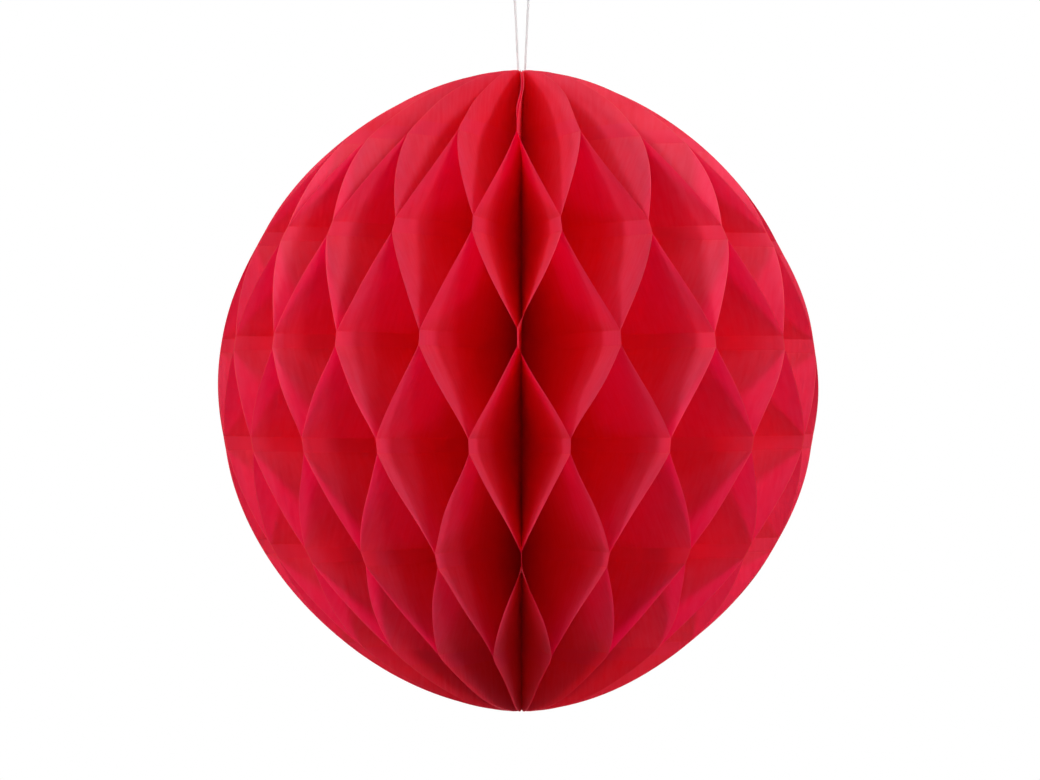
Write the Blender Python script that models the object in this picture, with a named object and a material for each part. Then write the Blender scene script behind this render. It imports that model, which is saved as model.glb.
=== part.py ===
"""Honeycomb paper ball on a thread loop, in metres, +Z up.

Forty tissue leaves, all cut to one half-round outline, stand round an upright axis. Each leaf is glued to
its neighbour on one face along level stripes, and to its neighbour on the other face along stripes that lie
about half way between, so the leaves zigzag and the gaps between them are cells. Above the first stripe and
below the last one the two leaves that it joins stay together up to the tip. The straight edges gather round
a narrow core, and both ends of the hanging thread are glued into it.

The origin is the point that the loop hangs from, at the underside of its top. Azimuth 0 is the front, at -Y,
where the first and the last leaf meet, and it grows towards +X.
"""

import math

import bmesh
import bpy
from mathutils import Vector

# Driving dimensions: the flat leaf
BALL_HEIGHT = 0.300  # tip to tip, the length of a leaf's straight edge
REACH = 0.1394  # from the ball's axis to the rim at mid height
PAPER = 0.00012  # a sheet of tissue, thicker than the real one so that it can be handled
TIP_WIDTH = 0.0025  # blunt end of a leaf at the poles
CORE_RADIUS = 0.0030  # hollow that the straight edges leave round the axis

# Driving dimensions: the glue stripes, measured down the flat leaf
STRIPE = 0.0065  # height of one stripe of glue
TOP_STRIPE = 0.034  # from the top tip to the middle of the first stripe
FACE_PITCH = 0.095  # from one stripe to the next on the same face of a leaf
BACK_SHIFT = 0.046  # how much lower the other face's next stripe lies
GLUE_GAP = 0.0003  # room that the glue takes between two leaves
JOIN_STRIPE = 0.0076  # longer stripe between the first and the last leaf, which are joined by hand

# Driving dimensions: how the ball is opened out
CELLS_AROUND = 20  # cells at one level, each between two leaves
DRAW_IN = 0.39  # share of the ideal shortening of a slanted sheet that soft tissue shows
SOFT_BEND = 0.12  # how much of the bend beside a stripe is spread over the free sheet, 0 to 1
WIDE_SIDE = 0.169  # cells opened wider on the +X side than on the -X side, in radians
NARROW_FRONT = -0.0215  # the same from front to side, in radians
FRONT_TURN = -0.0113  # the front seam stands this far round from -Y, in radians
SEAM_LEAN = -0.018  # turn of the front seam at its top, and the other way at its bottom, in radians
SIDE_PULL = 0.0122  # share by which narrow cells let their leaves reach further out than wide ones
TOP_TWIST = 0.045  # turn of the free tips at the top, towards growing azimuth, in radians
BOTTOM_GATHER = 0.065  # turn of the free tips at the bottom towards the front seam, beside it, in radians

# Driving dimensions: the hanging thread
THREAD = 0.0012  # diameter
TAIL_LENGTH = 0.0200  # how far each end runs down inside the core
TAIL_GAP = 0.0003  # between a tail and the gathered paper edges
STRAND_ROUTE = (  # one strand from the ball's top to the loop's top: distance from the axis, height above the ball
    (0.00165, 0.0000),
    (0.00200, 0.0090),
    (0.00245, 0.0185),
    (0.00290, 0.0280),
    (0.00335, 0.0360),
    (0.00372, 0.0410),
    (0.00364, 0.0431),
    (0.00258, 0.0448),
    (0.00130, 0.0456),
    (0.00000, 0.0458),
)

# Mesh fineness
GAP_ROWS = 3  # rows of faces between two stripes
CAP_ROWS = 3  # rows of faces from the outer stripes to the tips
COLUMN_SHARES = (0.0, 0.55, 1.0)  # where the columns stand between the core and the rim
THREAD_STEP = 0.0030  # between two points of the thread's tube

# Values that follow from the ones above
LEAVES = 2 * CELLS_AROUND
HALF_HEIGHT = BALL_HEIGHT / 2
RIM_RADIUS = (HALF_HEIGHT**2 + REACH**2) / (2 * REACH)
CHORD_OFFSET = RIM_RADIUS - REACH
TIP_HEIGHT = math.sqrt(RIM_RADIUS**2 - (CHORD_OFFSET + CORE_RADIUS + TIP_WIDTH) ** 2)
FREE_SHEET = FACE_PITCH / 2 - STRIPE
LOOP_HEIGHT = STRAND_ROUTE[-1][1] - THREAD / 2
CENTRE_Z = -LOOP_HEIGHT - HALF_HEIGHT


def material(name, colour, roughness):
    made = bpy.data.materials.new(name)
    made.use_nodes = True
    shader = made.node_tree.nodes["Principled BSDF"]
    shader.inputs["Base Color"].default_value = (*colour, 1.0)
    shader.inputs["Roughness"].default_value = roughness
    shader.inputs["Metallic"].default_value = 0.0
    return made


def rim_reach(height):
    """Distance from the axis to the rim of a flat leaf, a circle's arc, at this height from its middle."""
    return math.sqrt(RIM_RADIUS**2 - height**2) - CHORD_OFFSET


def stripes():
    """(height, face) of each glue stripe, from top to bottom."""
    height = HALF_HEIGHT - TOP_STRIPE
    face = 0
    found = []
    while height - STRIPE / 2 > -TIP_HEIGHT:
        found.append((height, face))
        height -= BACK_SHIFT if face == 0 else FACE_PITCH - BACK_SHIFT
        face = 1 - face
    return found


def stripe_size(face, joined):
    """Height of a stripe. The first and the last leaf are joined by hand, along stripes on their first faces."""
    return JOIN_STRIPE if joined and face == 0 else STRIPE


def eased(share):
    """The sheet leaves a stripe and meets the next with a soft bend, and is nearly straight between."""
    smooth = share * share * (3 - 2 * share)
    return share + SOFT_BEND * (smooth - share)


def face_share(height, joined):
    """0 where the leaf lies on its first face's stripes, 1 on the other face's, and between in the free sheet."""
    levels = stripes()
    if height > levels[0][0]:
        return float(levels[0][1])
    for (upper, face), (lower, next_face) in zip(levels, levels[1:]):
        if height < lower:
            continue
        start = upper - stripe_size(face, joined) / 2
        end = lower + stripe_size(next_face, joined) / 2
        way = eased(min(max((start - height) / (start - end), 0.0), 1.0))
        return way if face == 0 else 1 - way
    return float(levels[-1][1])


def tip_lean(reach, height, turn):
    """Angle by which a leaf's free tip, above the first stripe or below the last, is bent aside. The core holds it."""
    levels = stripes()
    free = 1 - CORE_RADIUS / reach
    top = (height - levels[0][0]) / (TIP_HEIGHT - levels[0][0])
    if top > 0:
        return free * TOP_TWIST * top
    lowest, lowest_face = levels[-1]
    bottom = min(max((lowest - height) / (TIP_HEIGHT + lowest), 0.0), 1.0)
    front_gap = 0.0 if lowest_face == 1 else math.tau / LEAVES
    towards_gap = (turn - front_gap) % math.tau / math.pi - 1
    return free * BOTTOM_GATHER * towards_gap * (1 - (1 - bottom) ** 2)


def seam_lean(height, turn):
    """Angle by which the hand-joined seam, and less so the cells beside it, stand aslant."""
    return SEAM_LEAN * height / HALF_HEIGHT * max(math.cos(turn), 0.0) ** 8


def azimuth(turn):
    """Real direction of a place that would stand at this turn, in radians, if all cells were alike."""
    uneven = WIDE_SIDE * (1 - math.cos(turn)) + NARROW_FRONT * math.sin(2 * turn)
    return turn + FRONT_TURN + uneven


def half_cell(turn):
    """Half the angle of a cell here."""
    widening = 1 + WIDE_SIDE * math.sin(turn) + 2 * NARROW_FRONT * math.cos(2 * turn)
    return math.pi / CELLS_AROUND * widening


def drawn_in(reach, turn):
    """Share of its flat height that the sheet keeps at this reach, because it slants from stripe to stripe."""
    slant = math.atan2(reach * half_cell(turn), FREE_SHEET)
    return 1 - DRAW_IN * (1 - math.cos(slant))


def is_joined(index):
    """True for the first and the last leaf, which meet at the front once the ball is opened."""
    return index in (0, LEAVES - 1)


def opened(reach, height, index):
    """Where a point of flat leaf number index lies once the ball is opened."""
    share = face_share(height, is_joined(index))
    if index % 2:
        share = 1 - share
    turn = (index + share) * math.tau / LEAVES
    angle = azimuth(turn) + tip_lean(reach, height, turn) + seam_lean(height, turn)
    outward = Vector((math.sin(angle), -math.cos(angle), 0.0))
    sideways = Vector((math.cos(angle), math.sin(angle), 0.0))
    pulled = reach * (1 - SIDE_PULL * math.sin(turn) * reach / REACH)
    beside = (1 - 2 * share) * (PAPER + GLUE_GAP) / 2
    up = Vector((0.0, 0.0, CENTRE_Z + height * drawn_in(reach, turn)))
    return outward * pulled + sideways * beside + up


def row_heights(joined):
    """Heights of a leaf's rows: both edges of every stripe, even steps between, and even arcs to the tips."""
    edges = [h + side * stripe_size(face, joined) / 2 for h, face in stripes() for side in (1, -1)]
    rows = list(edges)
    for upper, lower in zip(edges[1::2], edges[2::2]):
        rows += [upper + (lower - upper) * n / GAP_ROWS for n in range(1, GAP_ROWS)]
    for edge, sign in ((edges[0], 1), (edges[-1], -1)):
        start = math.asin(edge / RIM_RADIUS)
        end = sign * math.asin(TIP_HEIGHT / RIM_RADIUS)
        rows += [RIM_RADIUS * math.sin(start + (end - start) * n / CAP_ROWS) for n in range(1, CAP_ROWS + 1)]
    return sorted(rows, reverse=True)


def leaf(index, tissue):
    """One leaf: a loft from its straight edge to its rim, ruled along level lines and given the paper's thickness."""
    shape = bmesh.new()
    grid = []
    for height in row_heights(is_joined(index)):
        width = rim_reach(height) - CORE_RADIUS
        reaches = [CORE_RADIUS + width * share for share in COLUMN_SHARES]
        grid.append([shape.verts.new(opened(reach, height, index)) for reach in reaches])
    for upper, lower in zip(grid, grid[1:]):
        for column in range(len(COLUMN_SHARES) - 1):
            corners = (upper[column], lower[column], lower[column + 1], upper[column + 1])
            shape.faces.new(corners)
    name = f"leaf_{index + 1:02d}"
    mesh = bpy.data.meshes.new(name)
    shape.to_mesh(mesh)
    shape.free()
    mesh.materials.append(tissue)
    mesh.shade_smooth()
    made = bpy.data.objects.new(name, mesh)
    bpy.context.collection.objects.link(made)
    thickness = made.modifiers.new("Paper thickness", "SOLIDIFY")
    thickness.thickness = PAPER
    thickness.offset = 0.0
    return made


def thread_route():
    """Points that the thread passes, from one tail in the core, round the loop and back to the other."""
    inside = CORE_RADIUS - TAIL_GAP - THREAD / 2
    tail = [(inside, -TAIL_LENGTH * share) for share in (1.0, 0.7, 0.4)]
    strand = [*tail, *STRAND_ROUTE]
    left = [Vector((-out, 0.0, up - LOOP_HEIGHT)) for out, up in strand]
    right = [Vector((out, 0.0, up - LOOP_HEIGHT)) for out, up in reversed(strand[:-1])]
    return left + right


def smooth_points(route, step):
    """Points at even steps along the smooth curve through a route."""
    ends = [2 * route[0] - route[1], *route, 2 * route[-1] - route[-2]]
    fine = []
    for before, start, end, after in zip(ends, ends[1:], ends[2:], ends[3:]):
        for n in range(20):
            t = n / 20
            bend = 2 * start + (end - before) * t + (2 * before - 5 * start + 4 * end - after) * t**2
            fine.append((bend + (3 * start - before - 3 * end + after) * t**3) / 2)
    fine.append(route[-1])
    along = [0.0]
    for a, b in zip(fine, fine[1:]):
        along.append(along[-1] + (b - a).length)
    count = round(along[-1] / step)
    points = []
    at = 0
    for n in range(count + 1):
        wanted = along[-1] * n / count
        while at < len(fine) - 2 and along[at + 1] < wanted:
            at += 1
        share = (wanted - along[at]) / (along[at + 1] - along[at])
        points.append(fine[at].lerp(fine[at + 1], share))
    return points


def hanging_thread(cotton):
    """White thread, doubled into a loop, with both ends glued into the core."""
    points = smooth_points(thread_route(), THREAD_STEP)
    curve = bpy.data.curves.new("hanging_thread", "CURVE")
    curve.dimensions = "3D"
    curve.bevel_depth = THREAD / 2
    curve.bevel_resolution = 2
    curve.use_fill_caps = True
    spline = curve.splines.new("POLY")
    spline.points.add(len(points) - 1)
    for place, point in zip(spline.points, points):
        place.co = (*point, 1.0)
    spline.use_smooth = True
    curve.materials.append(cotton)
    made = bpy.data.objects.new("hanging_thread", curve)
    bpy.context.collection.objects.link(made)
    return made


for old in list(bpy.data.objects):
    bpy.data.objects.remove(old)

red_tissue = material("red_tissue", (0.58, 0.004, 0.018), 0.75)
white_cotton = material("white_cotton", (0.85, 0.85, 0.85), 0.8)
for leaf_index in range(LEAVES):
    leaf(leaf_index, red_tissue)
hanging_thread(white_cotton)
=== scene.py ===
"""Looks of a red honeycomb paper ball on its white thread loop, in metres, +Z up.

Azimuth 0 is the front, at -Y, where the first and the last leaf meet, and it grows towards +X.
"""

import math

import bpy
import numpy as np
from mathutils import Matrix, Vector


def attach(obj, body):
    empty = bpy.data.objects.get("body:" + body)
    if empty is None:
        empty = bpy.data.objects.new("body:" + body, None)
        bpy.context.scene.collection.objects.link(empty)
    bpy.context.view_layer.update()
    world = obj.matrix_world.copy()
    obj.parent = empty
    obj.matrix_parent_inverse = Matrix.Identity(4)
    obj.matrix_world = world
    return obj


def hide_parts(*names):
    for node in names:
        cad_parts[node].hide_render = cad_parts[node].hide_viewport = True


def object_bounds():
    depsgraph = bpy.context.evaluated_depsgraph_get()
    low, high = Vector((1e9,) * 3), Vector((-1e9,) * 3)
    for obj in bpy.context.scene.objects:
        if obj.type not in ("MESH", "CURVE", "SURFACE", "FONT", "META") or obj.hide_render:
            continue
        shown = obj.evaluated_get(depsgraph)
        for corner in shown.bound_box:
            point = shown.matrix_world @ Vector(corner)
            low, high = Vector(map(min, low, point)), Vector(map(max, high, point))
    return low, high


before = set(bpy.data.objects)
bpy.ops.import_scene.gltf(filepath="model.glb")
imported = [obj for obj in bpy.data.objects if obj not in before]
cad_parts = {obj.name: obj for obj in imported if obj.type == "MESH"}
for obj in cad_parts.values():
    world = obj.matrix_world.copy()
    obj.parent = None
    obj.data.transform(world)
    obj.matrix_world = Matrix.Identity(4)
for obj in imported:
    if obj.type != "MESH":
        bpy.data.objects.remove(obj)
cad_low, cad_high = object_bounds()


# The camera
# It looks almost level at the middle of the hanging ball from a little under a metre, through a short
# telephoto lens, and stands a hair to the left of the ball's axis.
EYE_DISTANCE = 0.9788
EYE_LEFT = 0.00077
EYE_TILT = 0.0106  # radians, upwards
LENS_MM = 72.28
BALL_MIDDLE = -0.1950  # height that it looks at

camera = bpy.data.objects.new("camera", bpy.data.cameras.new("camera"))
bpy.context.scene.collection.objects.link(camera)
camera.data.lens = LENS_MM
camera.location = (
    -EYE_LEFT,
    -EYE_DISTANCE * math.cos(EYE_TILT),
    BALL_MIDDLE - EYE_DISTANCE * math.sin(EYE_TILT),
)
camera.rotation_euler = (math.pi / 2 + EYE_TILT, 0.0, 0.0)
bpy.context.scene.camera = camera


# The hanging thread
# White cotton, three plies twisted together, doubled into a loop. Both ends are glued into the core that
# the leaves' straight edges leave, so it comes out of the ball's top twice.
THREAD = 0.0012  # diameter
PLY = 0.00062  # diameter of one ply
PLIES = 3
TWIST = 0.0034  # length of one turn of the plies
PLY_SIDES = 8
PLY_STEPS = 9  # rings to one turn
CURVE_STEPS = 20  # from one point of the route to the next
LOOP_HEIGHT = 0.0452  # from the ball's top to the underside of the loop's top
TAIL_OUT = 0.0021  # from the axis to each tail
# Points of one tail and of the strand above it: distance from the axis, and height above the ball's top
TAIL = ((TAIL_OUT, -0.020), (TAIL_OUT, -0.014), (TAIL_OUT, -0.008))
STRAND_ROUTE = (
    (0.00165, 0.0000),
    (0.00200, 0.0090),
    (0.00245, 0.0185),
    (0.00290, 0.0280),
    (0.00335, 0.0360),
    (0.00372, 0.0410),
    (0.00364, 0.0431),
    (0.00258, 0.0448),
    (0.00130, 0.0456),
    (0.00000, 0.0458),
)
COTTON_SHADE = (0.94, 0.95, 0.95, 1.0)
COTTON_WHITE = (0.985, 0.99, 0.99, 1.0)
COTTON_ROUGHNESS = 0.85
COTTON_THROUGH = 0.65  # share of the light that soaks through
FLUFF_SCALE = 2600.0
FLUFF_DETAIL = 3.0
FLUFF_RELIEF = 0.4
FLUFF_DEPTH = 0.0001


def smooth_line(route, step):
    """Points at even steps along the smooth curve through a route."""
    ends = [2 * route[0] - route[1], *route, 2 * route[-1] - route[-2]]
    fine = []
    for before, start, end, after in zip(ends, ends[1:], ends[2:], ends[3:]):
        for n in range(CURVE_STEPS):
            t = n / CURVE_STEPS
            bend = 2 * start + (end - before) * t + (2 * before - 5 * start + 4 * end - after) * t**2
            fine.append((bend + (3 * start - before - 3 * end + after) * t**3) / 2)
    fine = np.array([*fine, route[-1]])
    along = np.concatenate([[0.0], np.cumsum(np.linalg.norm(np.diff(fine, axis=0), axis=1))])
    wanted = np.linspace(0.0, along[-1], round(along[-1] / step) + 1)
    return np.stack([np.interp(wanted, along, fine[:, axis]) for axis in range(3)], axis=1)


def thread_route():
    """From one tail in the core up its strand, round the loop and down to the other tail."""
    strand = [*TAIL, *STRAND_ROUTE]
    left = [Vector((-out, 0.0, up - LOOP_HEIGHT)) for out, up in strand]
    right = [Vector((out, 0.0, up - LOOP_HEIGHT)) for out, up in reversed(strand[:-1])]
    return left + right


def twisted_thread():
    """Every ply is a tube whose middle winds round the thread's own line."""
    line = smooth_line(thread_route(), TWIST / PLY_STEPS)
    ahead = np.gradient(line, axis=0)
    ahead /= np.linalg.norm(ahead, axis=1)[:, None]
    side = np.tile([0.0, 1.0, 0.0], (len(line), 1))
    across = np.cross(ahead, side)
    points, faces = [], []
    for ply in range(PLIES):
        wind = math.tau * (np.arange(len(line)) / PLY_STEPS + ply / PLIES)
        away = np.cos(wind)[:, None] * side + np.sin(wind)[:, None] * across
        middle = line + away * (THREAD - PLY) / 2
        rings = []
        for n in range(PLY_SIDES):
            turn = math.tau * n / PLY_SIDES
            rings.append(middle + (math.cos(turn) * side + math.sin(turn) * across) * PLY / 2)
        points.append(np.stack(rings, axis=1).reshape(-1, 3))
        start = ply * len(line) * PLY_SIDES
        for row in range(len(line) - 1):
            for n in range(PLY_SIDES):
                a = start + row * PLY_SIDES + n
                b = start + row * PLY_SIDES + (n + 1) % PLY_SIDES
                faces.append((a, b, b + PLY_SIDES, a + PLY_SIDES))
        faces.append([start + n for n in reversed(range(PLY_SIDES))])
        faces.append([start + (len(line) - 1) * PLY_SIDES + n for n in range(PLY_SIDES)])
    mesh = bpy.data.meshes.new("cotton_thread")
    mesh.from_pydata(np.concatenate(points), [], faces)
    mesh.shade_smooth()
    made = bpy.data.objects.new("cotton_thread", mesh)
    bpy.context.scene.collection.objects.link(made)
    return made, line


class Socket:
    """A value in a material. Operators on it add the nodes that work them out."""

    def __init__(self, tree, link):
        self.tree = tree
        self.link = link

    def node(self, kind, settings=None, output=0, **values):
        """Any node: its settings first, then its sockets by name, or by number as at0, at1 and so on."""
        made = self.tree.nodes.new(kind)
        for name, value in (settings or {}).items():
            setattr(made, name, value)
        for name, value in values.items():
            place = int(name[2:]) if name.startswith("at") else name.replace("_", " ")
            if isinstance(value, Socket):
                self.tree.links.new(value.link, made.inputs[place])
            else:
                made.inputs[place].default_value = value
        return Socket(self.tree, made.outputs[output])

    def math(self, operation, first, second=0.0):
        return self.node("ShaderNodeMath", {"operation": operation}, at0=first, at1=second)

    def __add__(self, other):
        return self.math("ADD", self, other)

    __radd__ = __add__

    def __sub__(self, other):
        return self.math("SUBTRACT", self, other)

    def __rsub__(self, other):
        return self.math("SUBTRACT", other, self)

    def __mul__(self, other):
        return self.math("MULTIPLY", self, other)

    __rmul__ = __mul__

    def __abs__(self):
        return self.math("ABSOLUTE", self)

    def ramp(self, low, high):
        """0 at low, 1 at high, and an even slope between."""
        return self.node("ShaderNodeMapRange", at0=self, at1=low, at2=high)

    def between(self, first, second):
        """A colour that goes from first to second as this value goes from 0 to 1."""
        settings = {"data_type": "RGBA"}
        return self.node("ShaderNodeMix", settings, output=2, at0=self, at6=first, at7=second)

    def feed(self, shader, name):
        self.tree.links.new(self.link, shader.inputs[name])


def new_finish(name):
    """A material, its main shader, and a socket to start expressions from."""
    made = bpy.data.materials.new(name)
    made.use_nodes = True
    shader = made.node_tree.nodes["Principled BSDF"]
    return made, shader, Socket(made.node_tree, shader.outputs[0])


def let_light_through(made, shader, colour, share):
    """Mixes the finish with light that soaks through to the other side."""
    tree = made.node_tree
    through = tree.nodes.new("ShaderNodeBsdfTranslucent")
    through.inputs["Color"].default_value = colour
    both = tree.nodes.new("ShaderNodeMixShader")
    both.inputs["Fac"].default_value = share
    tree.links.new(shader.outputs[0], both.inputs[1])
    tree.links.new(through.outputs[0], both.inputs[2])
    tree.links.new(both.outputs[0], tree.nodes["Material Output"].inputs["Surface"])


def spun_cotton():
    """Bleached white cotton with fine fibres across the plies, thin enough to let light through."""
    made, shader, start = new_finish("spun_cotton")
    place = start.node("ShaderNodeTexCoord", output="Object")
    fluff = start.node("ShaderNodeTexNoise", Vector=place, Scale=FLUFF_SCALE, Detail=FLUFF_DETAIL)
    fluff.between(COTTON_SHADE, COTTON_WHITE).feed(shader, "Base Color")
    shader.inputs["Roughness"].default_value = COTTON_ROUGHNESS
    relief = start.node("ShaderNodeBump", Height=fluff, Strength=FLUFF_RELIEF, Distance=FLUFF_DEPTH)
    relief.feed(shader, "Normal")
    let_light_through(made, shader, COTTON_WHITE, COTTON_THROUGH)
    return made


thread, thread_line = twisted_thread()
thread.data.materials.append(spun_cotton())
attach(thread, "root")
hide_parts("hanging_thread")


# The tissue leaves
# Forty sheets of red tissue, cut to one half-round outline and glued to each other along level stripes,
# on one face and then on the other, half way between. Opened out, they zigzag round the ball's axis.

# The flat leaf
BALL_HEIGHT = 0.300  # tip to tip, the length of a leaf's straight edge
REACH = 0.1394  # from the ball's axis to the rim at mid height
PAPER = 0.00012  # thickness
TIP_WIDTH = 0.0025  # blunt end of a leaf at the poles
CORE_RADIUS = 0.0030  # of the hollow for the thread's tails
TAIL_ROOM = 0.0215  # how far down that hollow goes
TAIL_TAPER = 0.004  # and how much further it narrows to nothing
TAIL_SIDE = 0.42  # leaves this near to the line through both tails make room, in core radii
SPINE_RADIUS = 0.00001  # the other straight edges meet this near to the axis

# Its glue stripes
STRIPE = 0.0065  # height of one stripe
JOIN_STRIPE = 0.0076  # longer stripe between the first and the last leaf, which are joined by hand
TOP_STRIPE = 0.034  # from the top tip to the middle of the first stripe
FACE_PITCH = 0.095  # from one stripe to the next on the same face of a leaf
BACK_SHIFT = 0.046  # how much lower the other face's next stripe lies
GLUE_GAP = 0.00004  # room that the glue takes between two leaves
PRESSED_WITHIN = 0.0016  # nearer to the axis than this, the leaves are pressed closer together

# How the ball is opened out, with turns and leans in radians
CELLS_AROUND = 20  # cells at one level
DRAW_IN = 0.39  # share of the ideal shortening of a slanted sheet that soft tissue shows
SOFT_BEND = 0.12  # how much of the bend beside a stripe is spread over the free sheet, 0 to 1
WIDE_SIDE = 0.169  # cells opened wider on the +X side than on the -X side
NARROW_FRONT = -0.0215  # the same from front to side
FRONT_TURN = -0.0113  # the front seam stands this far round from -Y
SEAM_LEAN = -0.018  # turn of the front seam at its top, and the other way at its bottom
SEAM_FADE = 8  # how fast that lean dies out to the sides
SIDE_PULL = 0.0122  # share by which narrow cells let their leaves reach further out than wide ones
TOP_TWIST = 0.045  # turn of the free tips at the top, towards growing azimuth
BOTTOM_GATHER = 0.065  # turn of the free tips at the bottom towards the front seam, next to it
TIP_CRINKLE = 0.009  # how far ripples turn the free tips at the top
CRINKLE_LENGTH = 0.028  # height of one ripple
CRINKLE_SHIFT = 3  # ripples by which the pattern sinks once round the ball
CRINKLE_START = 2.42  # at the front
LIP_FLARE = 0.0006  # how far the rim of each joined leaf bends aside above their first stripe
LIP_DEPTH = 0.0025  # how soon that dies out inwards
SWAY = 0.042  # how far soft waves move the free sheet, as a share of its width round the ball
SWAY_WAVES = 3
LEAST_WAVE = (30, 40, 0)  # radians to the metre outwards and up the sheet, and the start
MOST_WAVE = (110, 120, math.tau)

# Rows and columns of one leaf's mesh
STRIPE_ROWS = 3
GAP_ROWS = 14
CAP_ROWS = 16
COLUMNS = 40
CROWDING = 1.3  # columns crowd towards the rim, and 1 is even
CREASE = 0.2  # an edge bent by more radians than this is sharp

# Dye and grain, and a painted highlight along each rim
DARK_RED = (0.968, 0.038, 0.115, 1.0)
LIGHT_RED = (0.986, 0.074, 0.178, 1.0)
GLUED_RED = (0.972, 0.060, 0.200, 1.0)
GLUE_SHARE = 0.7  # how fully a stripe takes the glued red
GLUE_BLUR = 0.0004  # at a stripe's edges
# A thin paler red along each leaf's rim: partly the fluffed cut edge's own colour, partly a painted
# highlight for the light that the rims catch
CUT_EDGE_AND_HIGHLIGHT = (0.985, 0.150, 0.185, 1.0)
EDGE_AND_HIGHLIGHT_SHARE = 0.8  # how fully the rim takes the cut edge's red, painted highlight included
EDGE_AND_HIGHLIGHT_WIDTH = 0.0002  # of the pale cut rim, partly a painted highlight
EDGE_AND_HIGHLIGHT_BLUR = 0.0003
THROUGH_RED = (0.966, 0.001, 0.078, 1.0)
THROUGH_SHARE = 0.43  # share of the light that goes through a sheet
STREAKS = (520.0, 60.0, 2.0)  # noise to the metre outwards and up the sheet, and its detail
CLOUDS = (360.0, 170.0, 2.0)
NEXT_SHEET = 3.7  # how far on in the noise the next leaf's grain lies
DARK_TONE = 0.36  # noise up to this gives the darker red
LIGHT_TONE = 0.64  # and from this on the lighter one
TISSUE_ROUGHNESS = 0.7
TISSUE_GLOSS = 1.0
GRAIN_RELIEF = 0.5
GRAIN_DEPTH = 0.0005

leaves = 2 * CELLS_AROUND
half_height = BALL_HEIGHT / 2
rim_radius = (half_height**2 + REACH**2) / (2 * REACH)
chord_offset = rim_radius - REACH
tip_height = math.sqrt(rim_radius**2 - (chord_offset + CORE_RADIUS + TIP_WIDTH) ** 2)
centre_z = -LOOP_HEIGHT - half_height


def rim_reach(height):
    """Distance from the axis to a flat leaf's rim, which is an arc, at a height from its middle."""
    return np.sqrt(rim_radius**2 - height**2) - chord_offset


def stripe_levels():
    """(height, face) of each glue stripe on the flat leaf, from top to bottom."""
    height, face, found = half_height - TOP_STRIPE, 0, []
    while height - STRIPE / 2 > -tip_height:
        found.append((height, face))
        height -= BACK_SHIFT if face == 0 else FACE_PITCH - BACK_SHIFT
        face = 1 - face
    return found


def is_joined(index):
    """True for the first and the last leaf, which are joined by hand when the ball is opened."""
    return index in (0, leaves - 1)


def stripe_edges(joined):
    """Heights of both edges of every stripe, and the face that each is on."""
    edges = []
    for height, face in stripe_levels():
        size = JOIN_STRIPE if joined and face == 0 else STRIPE
        edges += [(height + side * size / 2, face) for side in (1, -1)]
    return np.array(edges).T


def face_share(height, joined):
    """0 on the stripes of a leaf's first face, 1 on the other face's, and between in the free sheet."""
    places, faces = stripe_edges(joined)
    share = np.interp(-height, -places, faces)
    smooth = share**2 * (3 - 2 * share)
    return share + SOFT_BEND * (smooth - share)


def sheet_sway(reach, height, index):
    """Soft waves, other ones in each leaf, that the free sheet takes between its stripes."""
    chance = np.random.default_rng(index)
    wave = 0.0
    for _ in range(SWAY_WAVES):
        across, along, start = chance.uniform(LEAST_WAVE, MOST_WAVE)
        wave = wave + np.sin(across * reach + along * height + start) / SWAY_WAVES
    return wave


def tip_lean(reach, height, turn):
    """Angle by which a leaf's free tip is bent aside. The core holds it."""
    (highest, _), (lowest, _) = stripe_levels()[0], stripe_levels()[-1]
    free = np.clip(1 - CORE_RADIUS / reach, 0.0, 1.0)
    top = np.clip((height - highest) / (tip_height - highest), 0.0, 1.0)
    bottom = np.clip((lowest - height) / (tip_height + lowest), 0.0, 1.0)
    gather = BOTTOM_GATHER * (turn / math.pi - 1) * (1 - (1 - bottom) ** 2)
    ripple = np.sin(math.tau * height / CRINKLE_LENGTH + CRINKLE_SHIFT * turn + CRINKLE_START)
    crinkle = TIP_CRINKLE * 4 * top * (1 - top) * ripple
    return free * (TOP_TWIST * top + gather + crinkle)


def seam_lean(height, turn):
    """Angle by which the hand-joined seam, and less so the cells beside it, stand aslant."""
    return SEAM_LEAN * height / half_height * np.clip(np.cos(turn), 0.0, 1.0) ** SEAM_FADE


def lip_flare(reach, height, index):
    """Above their first stripe, the rims of the two leaves joined by hand stand a little apart."""
    if not is_joined(index):
        return 0.0
    from_rim = rim_reach(height) - reach
    above = np.clip((height - stripe_levels()[0][0]) / STRIPE, 0.0, 1.0)
    return LIP_FLARE * above * np.exp(-from_rim / LIP_DEPTH)


def opened(reach, height, index):
    """Where points of flat leaf number index lie once the ball is opened."""
    share = face_share(height, is_joined(index))
    share = share + SWAY * 4 * share * (1 - share) * sheet_sway(reach, height, index)
    if index % 2:
        share = 1 - share
    turn = (index + share) * math.tau / leaves
    uneven = WIDE_SIDE * (1 - np.cos(turn)) + NARROW_FRONT * np.sin(2 * turn)
    angle = turn + FRONT_TURN + uneven + tip_lean(reach, height, turn) + seam_lean(height, turn)
    widening = 1 + WIDE_SIDE * np.sin(turn) + 2 * NARROW_FRONT * np.cos(2 * turn)
    half_cell = math.pi / CELLS_AROUND * widening
    slant = np.arctan2(reach * half_cell, FACE_PITCH / 2 - STRIPE)
    pulled = reach * (1 - SIDE_PULL * np.sin(turn) * reach / REACH)
    spacing = (PAPER + GLUE_GAP) / 2 * np.clip(reach / PRESSED_WITHIN, 0.0, 1.0)
    beside = (1 - 2 * share) * (spacing + lip_flare(reach, height, index))
    return np.stack(
        [
            np.sin(angle) * pulled + np.cos(angle) * beside,
            -np.cos(angle) * pulled + np.sin(angle) * beside,
            centre_z + height * (1 - DRAW_IN * (1 - np.cos(slant))),
        ],
        axis=-1,
    )


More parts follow.
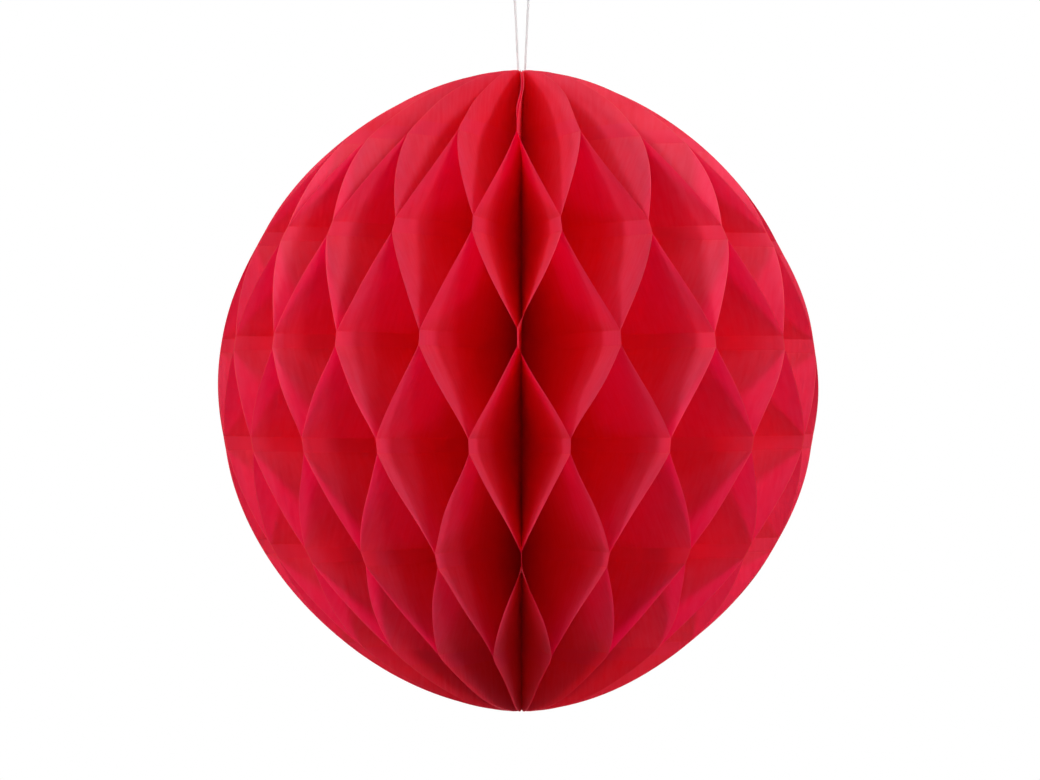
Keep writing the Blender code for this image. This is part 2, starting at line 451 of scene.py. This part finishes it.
def row_heights(joined):
    """Heights of a leaf's rows: even steps in and between the stripes, and even arcs to the tips."""
    edges = stripe_edges(joined)[0]
    rows = []
    for n, (upper, lower) in enumerate(zip(edges, edges[1:])):
        steps = GAP_ROWS if n % 2 else STRIPE_ROWS
        rows += list(np.linspace(upper, lower, steps, endpoint=False))
    tip = math.asin(tip_height / rim_radius)
    top = np.linspace(tip, math.asin(edges[0] / rim_radius), CAP_ROWS, endpoint=False)
    bottom = np.linspace(math.asin(edges[-1] / rim_radius), -tip, CAP_ROWS + 1)
    return np.concatenate([rim_radius * np.sin(top), rows, rim_radius * np.sin(bottom)])


def inner_reach(heights, index):
    """The straight edges meet at the axis, but for those that make room for the thread's tails."""
    across = opened(CORE_RADIUS, heights, index)[..., 1]
    beside_tail = np.abs(across) < TAIL_SIDE * CORE_RADIUS
    room_end = half_height - TAIL_ROOM
    room = np.interp(heights, [room_end - TAIL_TAPER, room_end], [SPINE_RADIUS, CORE_RADIUS])
    return np.where(beside_tail, room, SPINE_RADIUS)


def leaf(index):
    """One leaf as one thin sheet, with the flat sheet's own distances kept on its points."""
    heights = row_heights(is_joined(index))[:, None]
    rims = rim_reach(heights)
    inner = inner_reach(heights, index)
    shares = (1 - (1 - np.linspace(0.0, 1.0, COLUMNS + 1)) ** CROWDING)[None, :]
    reaches = inner + (rims - inner) * shares
    heights = np.broadcast_to(heights, reaches.shape)
    rows, columns = reaches.shape
    numbers = np.arange(rows * columns).reshape(rows, columns)
    corners = [numbers[:-1, :-1], numbers[1:, :-1], numbers[1:, 1:], numbers[:-1, 1:]]
    name = f"tissue_leaf_{index + 1:02d}"
    mesh = bpy.data.meshes.new(name)
    points = opened(reaches, heights, index).reshape(-1, 3)
    mesh.from_pydata(points, [], np.stack(corners, axis=-1).reshape(-1, 4).tolist())
    flat = mesh.attributes.new("flat", "FLOAT_VECTOR", "POINT")
    places = np.stack([reaches, heights, rims - reaches], axis=-1)
    flat.data.foreach_set("vector", places.astype(np.float32).ravel())
    sheet = mesh.attributes.new("sheet", "FLOAT", "POINT")
    sheet.data.foreach_set("value", np.full(rows * columns, NEXT_SHEET * index, np.float32))
    mesh.shade_smooth()
    mesh.set_sharp_from_angle(angle=CREASE)
    made = bpy.data.objects.new(name, mesh)
    bpy.context.scene.collection.objects.link(made)
    return made


def dyed_tissue():
    """Dyed tissue sends white light back a little pink. What comes through it is pure red."""
    made, shader, start = new_finish("dyed_tissue")
    flat = start.node("ShaderNodeAttribute", {"attribute_name": "flat"}, output="Vector")
    sheet = start.node("ShaderNodeAttribute", {"attribute_name": "sheet"}, output="Fac")
    height = start.node("ShaderNodeSeparateXYZ", output="Y", Vector=flat)
    from_rim = start.node("ShaderNodeSeparateXYZ", output="Z", Vector=flat)

    def grain(across, along, detail):
        """Noise on the flat sheet, stretched along its fibres, and other noise in each leaf."""
        settings = {"operation": "MULTIPLY_ADD"}
        stretch = (across, along, 0.0)
        place = start.node("ShaderNodeVectorMath", settings, at0=flat, at1=stretch, at2=sheet)
        return start.node("ShaderNodeTexNoise", Vector=place, Scale=1.0, Detail=detail)

    streaks = grain(*STREAKS)
    clouds = grain(*CLOUDS)
    glue = 0.0
    for level, _ in stripe_levels():
        glue = glue + (1.0 - abs(height - level).ramp(STRIPE / 2 - GLUE_BLUR, STRIPE / 2))
    # Painted highlight: the rim is paler, partly as the cut edge's own colour
    edge_and_highlight = 1.0 - from_rim.ramp(EDGE_AND_HIGHLIGHT_WIDTH, EDGE_AND_HIGHLIGHT_WIDTH + EDGE_AND_HIGHLIGHT_BLUR)
    tone = streaks * 0.5 + clouds * 0.5
    body = tone.ramp(DARK_TONE, LIGHT_TONE).between(DARK_RED, LIGHT_RED)
    stripe = (glue * GLUE_SHARE).between(body, GLUED_RED)
    (edge_and_highlight * EDGE_AND_HIGHLIGHT_SHARE).between(stripe, CUT_EDGE_AND_HIGHLIGHT).feed(shader, "Base Color")
    shader.inputs["Roughness"].default_value = TISSUE_ROUGHNESS
    shader.inputs["Specular IOR Level"].default_value = TISSUE_GLOSS
    relief = start.node("ShaderNodeBump", Height=streaks, Strength=GRAIN_RELIEF, Distance=GRAIN_DEPTH)
    relief.feed(shader, "Normal")
    let_light_through(made, shader, THROUGH_RED, THROUGH_SHARE)
    return made


tissue = dyed_tissue()
for index in range(leaves):
    piece = leaf(index)
    piece.data.materials.append(tissue)
    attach(piece, "root")
    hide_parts(f"leaf_{index + 1:02d}")


# The studio
# A pale floor well below the ball, out of the picture, that runs out into a white surround. Soft lamps
# stand in front of the ball to the left and right, and two behind it send their light through the tissue.
WHITE = (1.0, 1.0, 1.0, 1.0)
FLOOR_GREY = (0.20, 0.20, 0.20, 1.0)
FLOOR_ROUGHNESS = 0.9
FLOOR_DROP = 0.50  # from the ball's lowest point
FLOOR_RADIUS = 1.9
FLOOR_SIDES = 96
FLOOR_GLOW = 0.6  # share of the surround's white that the floor shows in its middle
FLOOR_EDGE = 0.8  # that share grows from here outwards
FLOOR_END = 1.75  # and is the whole from here on
WORLD_LEVEL = 0.08  # light that the white surround sheds
LIGHT_BOUNCES = 24  # so that light goes on through many leaves

scene = bpy.context.scene
scene.cycles.max_bounces = LIGHT_BOUNCES
scene.cycles.diffuse_bounces = LIGHT_BOUNCES
scene.cycles.transmission_bounces = LIGHT_BOUNCES


def lamp(name, azimuth, elevation, strength, width):
    """A large soft lamp, far away. Its azimuth, elevation and apparent width are in degrees."""
    light = bpy.data.lights.new(name, "SUN")
    light.energy = strength
    light.angle = math.radians(width)
    made = bpy.data.objects.new(name, light)
    around = math.radians(azimuth)
    above = math.radians(elevation)
    outward = math.cos(above)
    towards = Vector((math.sin(around) * outward, -math.cos(around) * outward, math.sin(above)))
    made.rotation_euler = towards.to_track_quat("Z", "Y").to_euler()
    scene.collection.objects.link(made)


def seen_straight(start):
    """1 where the eye sees a surface, also in a mirror or through glass, and 0 where it lights others."""
    camera_ray, mirror, clear, soft = [
        start.node("ShaderNodeLightPath", output=f"Is {kind} Ray")
        for kind in ("Camera", "Glossy", "Transmission", "Diffuse")
    ]
    return start.math("MAXIMUM", camera_ray, start.math("MAXIMUM", mirror, clear * (1.0 - soft)))


def studio_floor():
    """A matt pale disc. Further out it is as bright as the surround, so it has no edge."""
    level = cad_low[2] - FLOOR_DROP
    turns = [math.tau * n / FLOOR_SIDES for n in range(FLOOR_SIDES)]
    ring = [(FLOOR_RADIUS * math.cos(turn), FLOOR_RADIUS * math.sin(turn), level) for turn in turns]
    mesh = bpy.data.meshes.new("studio_floor")
    mesh.from_pydata(ring, [], [list(range(FLOOR_SIDES))])
    made = bpy.data.objects.new("studio_floor", mesh)
    scene.collection.objects.link(made)
    finish, shader, start = new_finish("matt_floor")
    shader.inputs["Base Color"].default_value = FLOOR_GREY
    shader.inputs["Roughness"].default_value = FLOOR_ROUGHNESS
    shader.inputs["Specular IOR Level"].default_value = 0.0
    place = start.node("ShaderNodeTexCoord", output="Object")
    flat = start.node("ShaderNodeVectorMath", {"operation": "MULTIPLY"}, at0=place, at1=(1.0, 1.0, 0.0))
    out = start.node("ShaderNodeVectorMath", {"operation": "LENGTH"}, output="Value", at0=flat)
    glow = start.node("ShaderNodeEmission", Color=WHITE, Strength=1.0)
    share = FLOOR_GLOW + out.ramp(FLOOR_EDGE, FLOOR_END) * (1.0 - FLOOR_GLOW)
    whole = start.node("ShaderNodeMixShader", at0=share * seen_straight(start), at1=start, at2=glow)
    whole.feed(finish.node_tree.nodes["Material Output"], "Surface")
    mesh.materials.append(finish)
    return made


studio_floor()
lamp("left_lamp", azimuth=-50, elevation=32, strength=1.03, width=10)
lamp("right_lamp", azimuth=50, elevation=32, strength=0.91, width=10)
lamp("left_fill", azimuth=-30, elevation=32, strength=0.34, width=16)
lamp("right_fill", azimuth=30, elevation=10, strength=0.43, width=16)
lamp("right_low", azimuth=60, elevation=5, strength=0.23, width=10)
lamp("left_side", azimuth=-95, elevation=30, strength=0.48, width=10)
lamp("back_left_lamp", azimuth=-120, elevation=-8, strength=1.78, width=16)
lamp("back_right_lamp", azimuth=120, elevation=-8, strength=2.00, width=16)

world = bpy.data.worlds.new("surround")
scene.world = world
world.use_nodes = True
surround = world.node_tree.nodes["Background"]
surround.inputs["Color"].default_value = WHITE
sky = Socket(world.node_tree, surround.outputs[0])
(WORLD_LEVEL + seen_straight(sky) * (1.0 - WORLD_LEVEL)).feed(surround, "Strength")

scene.view_settings.view_transform = "Standard"
